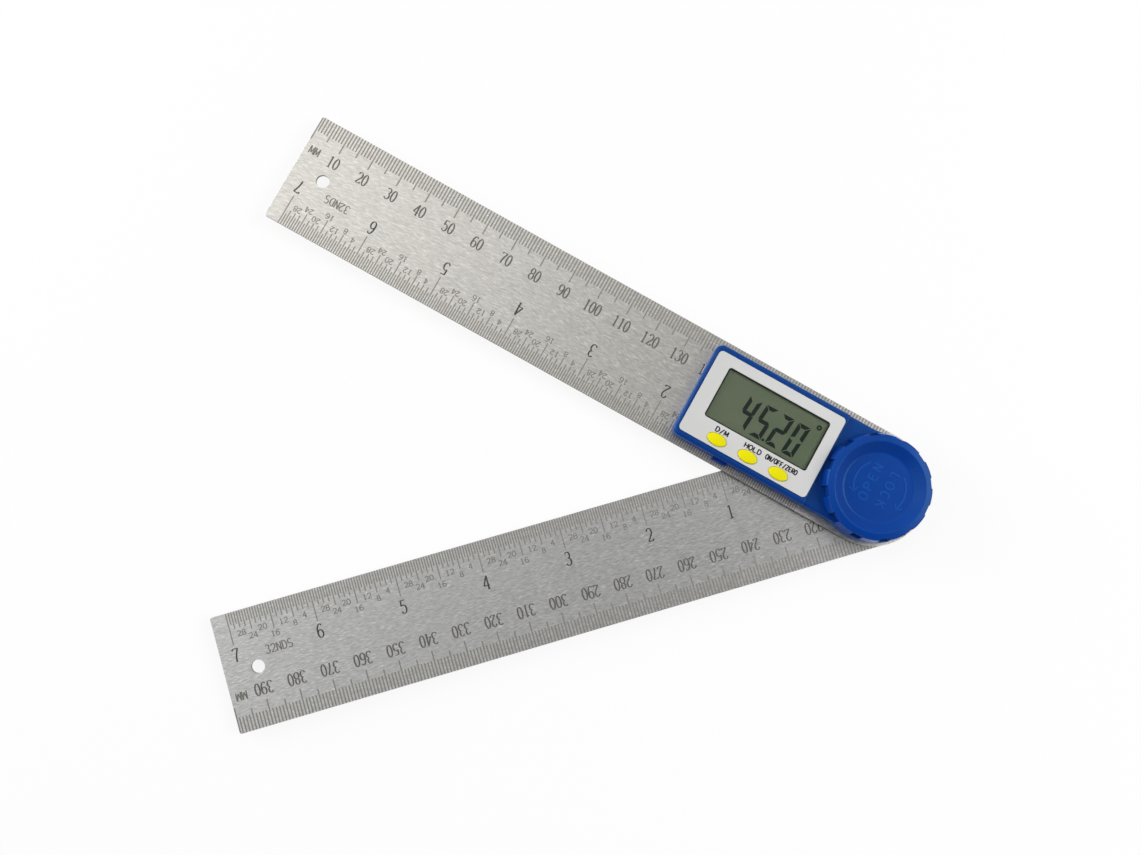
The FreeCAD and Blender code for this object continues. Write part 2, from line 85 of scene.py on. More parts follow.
# Materials
class Paint:
    """A node material with helpers for patterns in the object's own coordinates."""

    def __init__(self, name, colour, roughness, metallic=0.0, specular=0.5):
        self.material = bpy.data.materials.new(name)
        self.tree = emptied_tree(self.material)
        output = self.tree.nodes.new("ShaderNodeOutputMaterial")
        self.shader = self.tree.nodes.new("ShaderNodeBsdfPrincipled")
        self.join(self.shader.outputs["BSDF"], output.inputs["Surface"])
        self.shader.inputs["Base Color"].default_value = colour
        self.shader.inputs["Roughness"].default_value = roughness
        self.shader.inputs["Metallic"].default_value = metallic
        self.shader.inputs["Specular IOR Level"].default_value = specular

    def join(self, source, target):
        self.tree.links.new(source, target)

    def noise(self, size, detail=2.0, turn=0.0):
        """Noise whose features have about this size along each axis, in metres."""
        coordinates = self.tree.nodes.new("ShaderNodeTexCoord")
        mapping = self.tree.nodes.new("ShaderNodeMapping")
        mapping.vector_type = "TEXTURE"
        mapping.inputs["Rotation"].default_value = (0.0, 0.0, turn)
        mapping.inputs["Scale"].default_value = size
        texture = self.tree.nodes.new("ShaderNodeTexNoise")
        texture.inputs["Scale"].default_value = 1.0
        texture.inputs["Detail"].default_value = detail
        self.join(coordinates.outputs["Object"], mapping.inputs["Vector"])
        self.join(mapping.outputs["Vector"], texture.inputs["Vector"])
        return texture.outputs["Fac"]

    def ramp(self, factor, stops):
        """Colour ramp with (position, colour) stops."""
        node = self.tree.nodes.new("ShaderNodeValToRGB")
        elements = node.color_ramp.elements
        for element, (position, colour) in zip(elements, stops):
            element.position = position
            element.color = colour
        for position, colour in stops[len(elements):]:
            elements.new(position).color = colour
        self.join(factor, node.inputs["Fac"])
        return node.outputs["Color"]

    def blend(self, factor, first, second, mode="MIX"):
        node = self.tree.nodes.new("ShaderNodeMix")
        node.data_type = "RGBA"
        node.blend_type = mode
        for value, socket in ((factor, node.inputs["Factor"]), (first, node.inputs[6]),
                              (second, node.inputs[7])):
            if isinstance(value, (float, tuple)):
                socket.default_value = value
            else:
                self.join(value, socket)
        return node.outputs[2]

    def span(self, factor, low, high, start=0.3, end=0.7):
        """Noise value stretched to a range of numbers."""
        node = self.tree.nodes.new("ShaderNodeMapRange")
        node.inputs["From Min"].default_value = start
        node.inputs["From Max"].default_value = end
        node.inputs["To Min"].default_value = low
        node.inputs["To Max"].default_value = high
        self.join(factor, node.inputs["Value"])
        return node.outputs["Result"]

    def upright(self):
        """1 on faces that stand on edge and 0 on level ones."""
        coordinates = self.tree.nodes.new("ShaderNodeTexCoord")
        parts = self.tree.nodes.new("ShaderNodeSeparateXYZ")
        size = self.tree.nodes.new("ShaderNodeMath")
        size.operation = "ABSOLUTE"
        self.join(coordinates.outputs["Normal"], parts.inputs["Vector"])
        self.join(parts.outputs["Z"], size.inputs[0])
        return self.span(size.outputs["Value"], 1.0, 0.0, 0.35, 0.65)

    def soften(self, radius):
        """Rounded look for sharp edges."""
        node = self.tree.nodes.new("ShaderNodeBevel")
        node.samples = 6
        node.inputs["Radius"].default_value = radius
        self.join(node.outputs["Normal"], self.shader.inputs["Normal"])
        return node.outputs["Normal"]

    def bump(self, height, depth, strength=1.0, base=None):
        node = self.tree.nodes.new("ShaderNodeBump")
        node.inputs["Distance"].default_value = depth
        node.inputs["Strength"].default_value = strength
        self.join(height, node.inputs["Height"])
        if base is not None:
            self.join(base, node.inputs["Normal"])
        self.join(node.outputs["Normal"], self.shader.inputs["Normal"])

    def brush(self, turn):
        """Gloss spread across streaks that run along X turned by an angle."""
        across = self.tree.nodes.new("ShaderNodeVectorTransform")
        across.vector_type = "VECTOR"
        across.convert_from = "OBJECT"
        across.convert_to = "WORLD"
        across.inputs["Vector"].default_value = (-math.sin(turn), math.cos(turn), 0.0)
        self.shader.inputs["Anisotropic"].default_value = 0.7
        self.join(across.outputs["Vector"], self.shader.inputs["Tangent"])

    def colour(self, source):
        self.join(source, self.shader.inputs["Base Color"])

    def roughness(self, source):
        self.join(source, self.shader.inputs["Roughness"])


STREAK_SIZE = (4.0 * MM, 0.16 * MM, 1 * MM)
FLECK_LAYERS = (((1.8 * MM, 0.42 * MM, 1 * MM), 0.20), ((1.5 * MM, 0.36 * MM, 1 * MM), -0.24))
FLECK_TONES = [(0.32, (0.89, 0.89, 0.89, 1)), (0.50, (1, 1, 1, 1)),
               (0.64, (1.08, 1.08, 1.08, 1)), (0.74, (1.28, 1.28, 1.27, 1))]
# Tone of upright faces: partly the steel's duller cut edge, partly painted shade on the walls of
# edges and holes.
CUT_EDGE_AND_SHADE = linear(108, 106, 102)


def steel_paint(name, dark, middle, light, turn):
    """Brushed ruler steel with fine lengthwise streaks and flecks; upright faces are painted
    darker, partly the duller cut edge and partly painted shade on edges and hole walls.
    """
    paint = Paint(name, linear(*middle), 0.42, metallic=1.0)
    streak = paint.noise(STREAK_SIZE, 3.0, turn)
    base = paint.ramp(streak, [(0.30, linear(*dark)), (0.52, linear(*middle)),
                               (0.74, linear(*light))])
    for size, lean in FLECK_LAYERS:
        fleck = paint.noise(size, 2.0, turn + lean)
        base = paint.blend(1.0, base, paint.ramp(fleck, FLECK_TONES), "MULTIPLY")
    # Upright faces take the darker tone: cut edge plus painted shade.
    paint.colour(paint.blend(paint.upright(), base, CUT_EDGE_AND_SHADE))
    paint.roughness(paint.span(fleck, 0.38, 0.50))
    paint.bump(streak, 0.003 * MM, 0.5, paint.soften(0.08 * MM))
    paint.brush(turn)
    return paint.material


def moulded_paint(name, colour, shade, roughness, specular, grain=0.35, edge=0.2, relief=0.006,
                  sheen=(1.0, 1.0, 1.0, 1.0)):
    """Moulded plastic with a fine skin, slight colour drift and softened edges."""
    paint = Paint(name, linear(*colour), roughness, specular=specular)
    drift = paint.noise((14 * MM, 14 * MM, 14 * MM), 2.0)
    skin = paint.noise((grain * MM, grain * MM, grain * MM), 3.0)
    paint.colour(paint.ramp(drift, [(0.35, linear(*shade)), (0.65, linear(*colour))]))
    paint.roughness(paint.span(skin, roughness - 0.05, roughness + 0.07))
    paint.shader.inputs["Specular Tint"].default_value = sheen
    paint.bump(skin, relief * MM, 0.5, paint.soften(edge * MM))
    return paint.material


def silver_paint():
    """Satin silver grey face plate with very fine grain."""
    paint = Paint("plate_silver", linear(217, 217, 216), 0.46, metallic=0.35, specular=0.3)
    drift = paint.noise((18 * MM, 18 * MM, 18 * MM), 1.0)
    grain = paint.noise((0.12 * MM, 0.12 * MM, 0.12 * MM), 2.0)
    paint.colour(paint.ramp(drift, [(0.3, linear(212, 212, 211)), (0.7, linear(218, 218, 217))]))
    paint.roughness(paint.span(grain, 0.42, 0.52))
    paint.bump(grain, 0.002 * MM, 0.4, paint.soften(0.1 * MM))
    return paint.material


def turned_metal_paint(name, colour, roughness):
    """Bright machined metal for screws, bolts and the cell."""
    paint = Paint(name, linear(*colour), roughness, metallic=1.0)
    grain = paint.noise((0.9 * MM, 0.12 * MM, 0.9 * MM), 2.0)
    dull = tuple(channel * 0.93 for channel in linear(*colour)[:3]) + (1.0,)
    paint.colour(paint.ramp(grain, [(0.35, dull), (0.65, linear(*colour))]))
    paint.roughness(paint.span(grain, roughness - 0.06, roughness + 0.10))
    paint.bump(grain, 0.001 * MM, 0.4, paint.soften(0.1 * MM))
    return paint.material


def window_paint():
    """Clear pane: it lets light through, and its outer faces mirror a little more at a slant."""
    material = bpy.data.materials.new("clear_window")
    tree = emptied_tree(material)
    output = tree.nodes.new("ShaderNodeOutputMaterial")
    clear = tree.nodes.new("ShaderNodeBsdfTransparent")
    clear.inputs["Color"].default_value = (0.985, 0.99, 0.98, 1.0)
    gloss = tree.nodes.new("ShaderNodeBsdfAnisotropic")
    gloss.inputs["Roughness"].default_value = 0.06
    slant = tree.nodes.new("ShaderNodeFresnel")
    slant.inputs["IOR"].default_value = 1.4
    side = tree.nodes.new("ShaderNodeNewGeometry")
    outer = mix_values(tree, side.outputs["Backfacing"], slant.outputs["Fac"], 0.0)
    mix = tree.nodes.new("ShaderNodeMixShader")
    tree.links.new(outer, mix.inputs[0])
    tree.links.new(clear.outputs[0], mix.inputs[1])
    tree.links.new(gloss.outputs[0], mix.inputs[2])
    tree.links.new(mix.outputs[0], output.inputs["Surface"])
    return material


def mark_paint(name, colour, shade, roughness=0.55, metallic=0.0):
    """Etched or printed marks, slightly uneven."""
    paint = Paint(name, linear(*colour), roughness, metallic, specular=0.15)
    wear = paint.noise((0.8 * MM, 0.8 * MM, 0.8 * MM), 3.0)
    paint.colour(paint.ramp(wear, [(0.34, linear(*shade)), (0.66, linear(*colour))]))
    return paint.material


def lcd_paint():
    """Reflective display with a fine vertical grain and a slight drift of tone."""
    paint = Paint("lcd_glass", linear(98, 108, 87), 0.45, specular=0.2)
    drift = paint.noise((20 * MM, 8 * MM, 10 * MM), 1.0)
    grain = paint.noise((0.12 * MM, 0.12 * MM, 0.12 * MM), 2.0)
    tone = paint.ramp(drift, [(0.3, linear(92, 104, 82)), (0.7, linear(99, 109, 89))])
    speckle = paint.ramp(grain, [(0.3, (0.95, 0.95, 0.95, 1)), (0.7, (1.03, 1.03, 1.03, 1))])
    paint.colour(paint.blend(1.0, tone, speckle, "MULTIPLY"))
    return paint.material


def board_paint():
    """Green solder mask with faint copper runs beneath."""
    paint = Paint("solder_mask", linear(18, 92, 42), 0.35, specular=0.5)
    runs = paint.noise((6 * MM, 0.6 * MM, 6 * MM), 0.0)
    paint.colour(paint.ramp(runs, [(0.48, linear(14, 78, 36)), (0.52, linear(26, 108, 52))]))
    paint.bump(runs, 0.01 * MM, 0.4)
    return paint.material


def rubber_paint():
    paint = Paint("conductive_rubber", linear(30, 30, 32), 0.7, specular=0.3)
    bands = paint.noise((0.15 * MM, 4 * MM, 4 * MM), 0.0)
    paint.colour(paint.ramp(bands, [(0.45, linear(20, 20, 22)), (0.55, linear(96, 96, 98))]))
    return paint.material


upper_steel = steel_paint("upper_steel", (216, 213, 207), (227, 224, 218), (237, 235, 230), 0.0)
lower_steel = steel_paint("lower_steel", (205, 205, 203), (215, 215, 213), (225, 225, 224),
                          SHOWN_ANGLE)
BLUE_SHEEN = (0.36, 0.80, 1.0, 1.0)
housing_blue = moulded_paint("housing_blue", (1, 53, 131), (0, 48, 124), 0.30, 0.5, edge=0.5,
                             sheen=BLUE_SHEEN)
knob_blue = moulded_paint("knob_blue", (2, 57, 146), (1, 53, 139), 0.32, 0.35, edge=0.3,
                          sheen=BLUE_SHEEN)
tray_blue = moulded_paint("tray_blue", (3, 46, 150), (2, 42, 141), 0.42, 0.4, sheen=BLUE_SHEEN)
plate_grey = silver_paint()
cover_blue = moulded_paint("cover_blue", (18, 58, 140), (15, 52, 128), 0.55, 0.3,
                           grain=0.25, relief=0.015)
button_yellow = moulded_paint("button_yellow", (235, 227, 2), (231, 222, 1), 0.36, 0.12,
                              grain=0.5, edge=0.12, relief=0.003)
white_plastic = moulded_paint("low_friction_white", (228, 227, 220), (222, 220, 212), 0.5, 0.3)
chip_black = moulded_paint("chip_black", (26, 26, 28), (20, 20, 22), 0.55, 0.3, grain=0.1)
bright_steel = turned_metal_paint("bright_steel", (205, 205, 207), 0.28)
brass = turned_metal_paint("machined_brass", (218, 182, 104), 0.26)

FINISHES = {
    "upper_ruler": upper_steel,
    "lower_ruler": lower_steel,
    "rear_cover": cover_blue,
    "rear_hub": housing_blue,
    "hub_screws": bright_steel,
    "pivot_bolt": bright_steel,
    "friction_ring": white_plastic,
    "rotor_disc": board_paint(),
    "housing": housing_blue,
    "housing_screws": bright_steel,
    "face_plate": plate_grey,
    "display_lens": window_paint(),
    "lcd_panel": lcd_paint(),
    "lcd_connectors": rubber_paint(),
    "board_screws": bright_steel,
    "switch_domes": bright_steel,
    "controller_chip": chip_black,
    "battery_tray": tray_blue,
    "coin_cell": bright_steel,
    "contact_negative": bright_steel,
    "contact_positive": bright_steel,
    "thrust_ring": bright_steel,
    "lock_knob": knob_blue,
    "knob_insert": brass,
    "button_mode": button_yellow,
    "button_hold": button_yellow,
    "button_power": button_yellow,
}
FINISHES["circuit_board"] = FINISHES["rotor_disc"]


def finish_node(name, material):
    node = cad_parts[name]
    if not node.material_slots:
        node.data.materials.append(None)
    for slot in node.material_slots:
        slot.link = "OBJECT"
        slot.material = material


for node_name, node_material in FINISHES.items():
    finish_node(node_name, node_material)


# Meshes of thin marks
class Marks:
    """Collects thin prisms and makes one object of them."""

    def __init__(self, name, level, height):
        self.name = name
        self.low = level - SUNK
        self.high = level + height
        self.strokes = 0
        self.points = []
        self.faces = []

    def prism(self, outline):
        """Flat prism over a closed outline that runs anticlockwise, in metres."""
        start = len(self.points)
        count = len(outline)
        self.points += [(x, y, self.low) for x, y in outline]
        self.points += [(x, y, self.high) for x, y in outline]
        self.faces.append([start + step for step in reversed(range(count))])
        self.faces.append([start + count + step for step in range(count)])
        for step in range(count):
            after = (step + 1) % count
            self.faces.append([start + step, start + after,
                               start + count + after, start + count + step])

    def ribbon(self, path, widths, closed=False):
        """Flat band along a path; widths holds the band's width at each point."""
        left, right = [], []
        count = len(path)
        for step, (x, y) in enumerate(path):
            if closed:
                before, after = path[step - 1], path[(step + 1) % count]
            else:
                before, after = path[max(step - 1, 0)], path[min(step + 1, count - 1)]
            along_x, along_y = after[0] - before[0], after[1] - before[1]
            length = math.hypot(along_x, along_y)
            half = widths[step] / 2 / length
            left.append((x - along_y * half, y + along_x * half))
            right.append((x + along_y * half, y - along_x * half))
        start = len(self.points)
        # Strokes that cross never share one top level
        self.strokes += 1
        for level in (self.low, self.high + self.strokes % 3 * STROKE_STEP):
            self.points += [(x, y, level) for x, y in left]
            self.points += [(x, y, level) for x, y in right]
        lower_right, upper_left = start + count, start + 2 * count
        upper_right = start + 3 * count
        for step in range(count if closed else count - 1):
            after = (step + 1) % count
            self.faces.append([upper_left + step, upper_right + step,
                               upper_right + after, upper_left + after])
            self.faces.append([start + after, lower_right + after,
                               lower_right + step, start + step])
            self.faces.append([start + step, upper_left + step,
                               upper_left + after, start + after])
            self.faces.append([lower_right + after, upper_right + after,
                               upper_right + step, lower_right + step])
        if not closed:
            last = count - 1
            self.faces.append([start, lower_right, upper_right, upper_left])
            self.faces.append([lower_right + last, start + last,
                               upper_left + last, upper_right + last])

    def build(self, material, body, turn=0.0):
        mesh = bpy.data.meshes.new(self.name)
        spin = Matrix.Rotation(turn, 3, "Z")
        mesh.from_pydata([spin @ Vector(point) for point in self.points], [], self.faces)
        mesh.validate()
        mesh.materials.append(material)
        piece = bpy.data.objects.new(self.name, mesh)
        bpy.context.scene.collection.objects.link(piece)
        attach(piece, body)
        return piece


def arc(x, y, radius_x, radius_y, start, end, steps=14):
    """Points on an elliptic arc between two angles in degrees."""
    points = []
    for step in range(steps + 1):
        angle = math.radians(start + (end - start) * step / steps)
        points.append((x + radius_x * math.cos(angle), y + radius_y * math.sin(angle)))
    return points


def loop(x, y, radius_x, radius_y, steps=20):
    """Closed ellipse without its repeated last point."""
    return arc(x, y, radius_x, radius_y, 0, 360, steps)[:-1]


def spun(strokes):
    """Strokes turned half round in their box."""
    return [(closed, [(0.5 - x, 1 - y) for x, y in path]) for closed, path in strokes]


def open_strokes(*paths):
    return [(False, path) for path in paths]


# Characters as strokes in a box half as wide as it is high
SIX = [
    (True, loop(0.25, 0.29, 0.19, 0.29)),
    (False, [(0.42, 0.88)] + arc(0.30, 0.45, 0.24, 0.55, 75, 180) + [(0.06, 0.30)]),
]
STROKES = {
    "0": [(True, loop(0.25, 0.5, 0.19, 0.5))],
    "1": open_strokes([(0.25, 0.0), (0.25, 1.0)], [(0.26, 0.99), (0.12, 0.86)],
                      [(0.12, 0.0), (0.38, 0.0)]),
    "2": open_strokes(arc(0.25, 0.72, 0.18, 0.28, 165, -38) + [(0.07, 0.03)],
                      [(0.05, 0.03), (0.44, 0.03)], [(0.44, 0.03), (0.46, 0.16)]),
    "3": open_strokes(arc(0.23, 0.76, 0.17, 0.24, 150, -85),
                      arc(0.23, 0.27, 0.20, 0.27, 85, -155)),
    "4": open_strokes([(0.35, 1.0), (0.03, 0.27)], [(0.03, 0.27), (0.47, 0.27)],
                      [(0.35, 1.0), (0.35, 0.0)], [(0.24, 0.0), (0.46, 0.0)]),
    "5": open_strokes([(0.43, 0.97), (0.12, 0.97)], [(0.12, 0.97), (0.09, 0.55)],
                      arc(0.23, 0.31, 0.20, 0.31, 132, -152)),
    "6": SIX,
    "7": open_strokes([(0.05, 0.84), (0.06, 0.97)], [(0.05, 0.97), (0.45, 0.97)],
                      [(0.45, 0.97), (0.31, 0.62), (0.23, 0.30), (0.21, 0.0)]),
    "8": [(True, loop(0.25, 0.76, 0.16, 0.24)), (True, loop(0.25, 0.27, 0.19, 0.27))],
    "9": spun(SIX),
    "C": open_strokes(arc(0.27, 0.5, 0.21, 0.5, 48, 312, 20)),
    "D": open_strokes([(0.07, 0.0), (0.07, 1.0)],
                      [(0.07, 0.98), (0.18, 0.98)] + arc(0.20, 0.5, 0.24, 0.48, 85, -85)
                      + [(0.18, 0.02), (0.07, 0.02)]),
    "E": open_strokes([(0.08, 0.0), (0.08, 1.0)], [(0.08, 0.97), (0.43, 0.97)],
                      [(0.08, 0.51), (0.38, 0.51)], [(0.08, 0.03), (0.44, 0.03)]),
    "F": open_strokes([(0.08, 0.0), (0.08, 1.0)], [(0.08, 0.97), (0.43, 0.97)],
                      [(0.08, 0.51), (0.38, 0.51)]),
    "H": open_strokes([(0.07, 0.0), (0.07, 1.0)], [(0.43, 0.0), (0.43, 1.0)],
                      [(0.07, 0.51), (0.43, 0.51)]),
    "K": open_strokes([(0.08, 0.0), (0.08, 1.0)], [(0.43, 1.0), (0.08, 0.42)],
                      [(0.18, 0.56), (0.45, 0.0)]),
    "L": open_strokes([(0.08, 0.0), (0.08, 1.0)], [(0.08, 0.03), (0.44, 0.03)]),
    "M": open_strokes([(0.04, 0.0), (0.06, 1.0)], [(0.06, 1.0), (0.25, 0.15)],
                      [(0.25, 0.15), (0.44, 1.0)], [(0.44, 1.0), (0.46, 0.0)]),
    "N": open_strokes([(0.07, 0.0), (0.07, 1.0)], [(0.07, 1.0), (0.43, 0.0)],
                      [(0.43, 0.0), (0.43, 1.0)]),
    "O": [(True, loop(0.25, 0.5, 0.21, 0.49))],
    "P": open_strokes([(0.08, 0.0), (0.08, 1.0)],
                      [(0.08, 0.98), (0.22, 0.98)] + arc(0.24, 0.73, 0.19, 0.25, 88, -88)
                      + [(0.22, 0.48), (0.08, 0.48)]),
    "R": open_strokes([(0.08, 0.0), (0.08, 1.0)],
                      [(0.08, 0.98), (0.22, 0.98)] + arc(0.24, 0.74, 0.18, 0.24, 88, -88)
                      + [(0.22, 0.50), (0.08, 0.50)], [(0.24, 0.50), (0.45, 0.0)]),
    "S": open_strokes(arc(0.25, 0.74, 0.18, 0.26, 35, 255, 16)
                      + arc(0.25, 0.26, 0.19, 0.26, 75, -145, 16)),
    "Z": open_strokes([(0.06, 0.97), (0.44, 0.97)], [(0.44, 0.97), (0.06, 0.03)],
                      [(0.06, 0.03), (0.45, 0.03)]),
    "/": open_strokes([(0.10, -0.05), (0.40, 1.05)]),
}


def write(marks, text, x, y, height, length, turn=0.0, thick=0.16, thin=0.07):
    """Writes text about a middle point; sizes in metres, stroke widths as shares of height."""
    count = len(text)
    advance = length / (count - 0.06)
    stretch = advance * 0.94 / (0.5 * height)
    cos, sin = math.cos(turn), math.sin(turn)

    def place(index, point):
        across = index * advance + point[0] * height * stretch - length / 2
        up = (point[1] - 0.5) * height
        return (x + across * cos - up * sin, y + across * sin + up * cos)

    for index, character in enumerate(text):
        for closed, path in STROKES[character]:
            widths = []
            for step in range(len(path)):
                if closed:
                    before, after = path[step - 1], path[(step + 1) % len(path)]
                else:
                    before = path[max(step - 1, 0)]
                    after = path[min(step + 1, len(path) - 1)]
                rise = abs(after[1] - before[1])
                run = abs(after[0] - before[0]) * stretch
                upright = rise / math.hypot(rise, run)
                widths.append(height * (thin + (thick - thin) * upright ** 2))
            marks.ribbon([place(index, point) for point in path], widths, closed)


# Ruler scales
INCH = 25.4
RULER_TIP = -200.0
HALF_WIDTH = 17.5
INCH_ZERO = -17.5
LAST_MM_TICK = 196
TICK_WIDTH = 0.42


def tick(marks, x, side, length, width=TICK_WIDTH, start=0.02):
    """Line from a ruler edge inwards; side is 1 for the +Y edge and -1 for the other."""
    edge = side * (HALF_WIDTH - start)
    inner = side * (HALF_WIDTH - length)
    low, high = min(edge, inner) * MM, max(edge, inner) * MM
    left, right = (x - width / 2) * MM, (x + width / 2) * MM
    marks.prism([(left, low), (right, low), (right, high), (left, high)])


def mm_ticks(marks, side):
    for step in range(LAST_MM_TICK + 1):
        length = 7.7 if step % 10 == 0 else 6.3 if step % 5 == 0 else 4.7
        if step == 0:
            tick(marks, RULER_TIP + TICK_WIDTH / 2, side, length, start=0.4)
        else:
            tick(marks, RULER_TIP + step, side, length)


INCH_LENGTHS = {0: 9.5, 16: 7.9, 8: 6.4, 24: 6.4}


def inch_ticks(marks, side):
    for step in range(7 * 32 + 1):
        length = INCH_LENGTHS.get(step % 32, 3.6 if step % 2 else 5.0)
        tick(marks, INCH_ZERO - step * INCH / 32, side, length, 0.36)


def mm_numbers(marks, side, values, turn):
    for distance, value in values:
        text = str(value)
        write(marks, text, (RULER_TIP + distance) * MM, side * 6.55 * MM, 3.5 * MM,
              (1.9 * len(text) - 0.15) * MM, turn, 0.14, 0.07)


def inch_numbers(marks, side, turn):
    for inch in range(1, 8):
        write(marks, str(inch), (INCH_ZERO - inch * INCH) * MM, side * 4.95 * MM, 4.0 * MM,
              2.0 * MM, turn, 0.12, 0.07)


SMALL_LABELS = {4: 0, 12: 0, 20: 0, 28: 0, 8: 1, 24: 1, 16: 2}


def small_numbers(marks, side, places, turn):
    """Labels of the thirty-seconds; places are distances from the middle line."""
    for inch in range(7):
        for step, row in SMALL_LABELS.items():
            x = INCH_ZERO - (inch + step / 32) * INCH
            text = str(step)
            write(marks, text, x * MM, side * places[row] * MM, 1.6 * MM,
                  (1.5 * len(text) - 0.3) * MM, turn, 0.20, 0.15)


MM_VALUES_UPPER = [(value, value) for value in range(10, 200, 10)]
MM_VALUES_LOWER = [(400 - value, value) for value in range(390, 200, -10)]
tick_etch = mark_paint("tick_etch", (161, 158, 152), (149, 146, 140), metallic=0.9)
number_etch = mark_paint("number_etch", (124, 121, 116), (106, 103, 98), metallic=0.9)
inch_etch = mark_paint("inch_etch", (92, 90, 86), (74, 72, 69), metallic=0.8)
word_etch = mark_paint("word_etch", (142, 139, 133), (126, 123, 117), metallic=0.9)
faint_etch = mark_paint("faint_etch", (154, 151, 145), (138, 135, 129), metallic=0.9)


def ruler_scales(name, level, body, turn, mm_side, text_mm, text_inch, mm_values, small_places):
    """All scales and words on one ruler."""
    ticks = Marks(name + "_ticks", level, ETCH_HEIGHT)
    mm_ticks(ticks, mm_side)
    inch_ticks(ticks, -mm_side)
    ticks.build(tick_etch, body, turn)
    numbers = Marks(name + "_mm_numbers", level, ETCH_HEIGHT)
    mm_numbers(numbers, mm_side, mm_values, text_mm)
    numbers.build(number_etch, body, turn)
    inches = Marks(name + "_inch_numbers", level, ETCH_HEIGHT)
    inch_numbers(inches, -mm_side, text_inch)
    inches.build(inch_etch, body, turn)
    small = Marks(name + "_small_numbers", level, ETCH_HEIGHT)
    small_numbers(small, -mm_side, small_places, text_inch)
    small.build(faint_etch, body, turn)
    words = Marks(name + "_words", level, ETCH_HEIGHT)
    write(words, "MM", -196.8 * MM, mm_side * 6.95 * MM, 2.5 * MM, 3.4 * MM, text_mm, 0.16, 0.10)
    write(words, "32NDS", -182.65 * MM, -mm_side * 4.05 * MM, 2.5 * MM, 8.3 * MM, text_inch,
          0.16, 0.10)
    words.build(word_etch, body, turn)


ruler_scales("upper_scale", upper_top, "upper_arm", 0.0, 1, 0.0, math.pi,
             MM_VALUES_UPPER, (11.3, 9.85, 8.5))
ruler_scales("lower_scale", lower_top, "lower_arm", SHOWN_ANGLE, -1, math.pi, 0.0,
             MM_VALUES_LOWER, (10.85, 9.3, 8.05))

# Display reading
DIGIT_WIDTH = 4.0
DIGIT_HEIGHT = 10.5
DIGIT_PITCH = 5.47
DIGIT_LEFT = -46.51
DIGIT_LOW = -4.6
SEGMENT = 1.22
SLANT = math.tan(math.radians(5.0))
GAP = 0.16
SHOWN = ["fgbc", "afgcd", "abged", "abcdef"]


def segment_outlines():
    """Outline of each segment of an upright digit, anticlockwise."""
    w, h, t, g = DIGIT_WIDTH, DIGIT_HEIGHT, SEGMENT, GAP
    m = h / 2
    return {
        "a": [(t + g, h - t), (w - t - g, h - t), (w - g, h), (g, h)],
        "d": [(g, 0), (w - g, 0), (w - t - g, t), (t + g, t)],
        "g": [(g, m), (g + t / 2, m - t / 2), (w - g - t / 2, m - t / 2), (w - g, m),
              (w - g - t / 2, m + t / 2), (g + t / 2, m + t / 2)],
        "b": [(w, m + g), (w, h - g), (w - t, h - t - g), (w - t, m + t / 2 + g)],
        "c": [(w, g), (w, m - g), (w - t, m - t / 2 - g), (w - t, t + g)],
        "f": [(0, m + g), (t, m + t / 2 + g), (t, h - t - g), (0, h - g)],
        "e": [(0, g), (t, t + g), (t, m - t / 2 - g), (0, m - g)],
    }


def display_reading():
    digits = Marks("display_digits", lcd_top, SEGMENT_HEIGHT)
    outlines = segment_outlines()
    for place, names in enumerate(SHOWN):
        left = DIGIT_LEFT + place * DIGIT_PITCH
        for name in names:
            digits.prism([((left + x + y * SLANT) * MM, (DIGIT_LOW + y) * MM)
                          for x, y in outlines[name]])
    digits.prism([(x * MM, y * MM) for x, y in loop(-36.3, -4.07, 0.45, 0.45)])
    ring = loop(-23.2, 7.33, 0.56, 0.56, 28)
    digits.ribbon([(x * MM, y * MM) for x, y in ring], [0.5 * MM] * len(ring), True)
    digits.build(mark_paint("display_ink", (22, 34, 32), (17, 28, 26)), "upper_arm")


display_reading()

# Painted shade: dark line around the display, just inside the plate's opening, where the plate's
# cut edge shades it
WINDOW_X = (-55.33, -20.83)
WINDOW_Y = (-6.3, 10.19)
WINDOW_CORNER = 0.9
LINE_INSET = 0.22
LINE_WIDTH = 0.42


def window_line():
    left, right = WINDOW_X[0] + LINE_INSET, WINDOW_X[1] - LINE_INSET
    low, high = WINDOW_Y[0] + LINE_INSET, WINDOW_Y[1] - LINE_INSET
    radius = WINDOW_CORNER - LINE_INSET
    path = []
    for x, y, start in ((right - radius, high - radius, 0), (left + radius, high - radius, 90),
                        (left + radius, low + radius, 180), (right - radius, low + radius, 270)):
        path += arc(x, y, radius, radius, start, start + 90, 5)
    # Painted shade along the edge of the plate's opening.
    line = Marks("window_line", lens_top, PRINT_HEIGHT)
    line.ribbon([(x * MM, y * MM) for x, y in path], [LINE_WIDTH * MM] * len(path), True)
    line.build(mark_paint("window_shade", (40, 45, 37), (32, 37, 30)), "upper_arm")


window_line()

# Button labels
label_ink = mark_paint("label_ink", (34, 34, 36), (26, 26, 28))
labels = Marks("button_labels", plate_top, PRINT_HEIGHT)
for label, x, length in (("D/M", -48.2, 4.3), ("HOLD", -37.75, 5.7), ("ON/OFF/ZERO", -28.1, 10.6)):
    write(labels, label, x * MM, -8.0 * MM, 1.5 * MM, length * MM, 0.0, 0.26, 0.22)
labels.build(label_ink, "upper_arm")

# Raised marks in the knob's dish
relief = Marks("knob_marks", KNOB_DISH_LEVEL, RELIEF_HEIGHT)
ARROW_MIDDLE = (0.35, 0.2)
ARROW_RADIUS = 7.85
ARROW_SPREAD = 1.3
SHAFT_WIDTH = 0.55
WING_WIDTH = 0.45
SHAFT_STEPS = 20
LETTER_HEIGHT = 2.8
LETTER_WIDTH = 2.3


def on_arrow(radius, degrees):
    """Point about the middle of the two arrows, in metres."""
    angle = math.radians(degrees)
    x, y = ARROW_MIDDLE
    return ((x + radius * math.cos(angle)) * MM, (y + radius * math.sin(angle)) * MM)


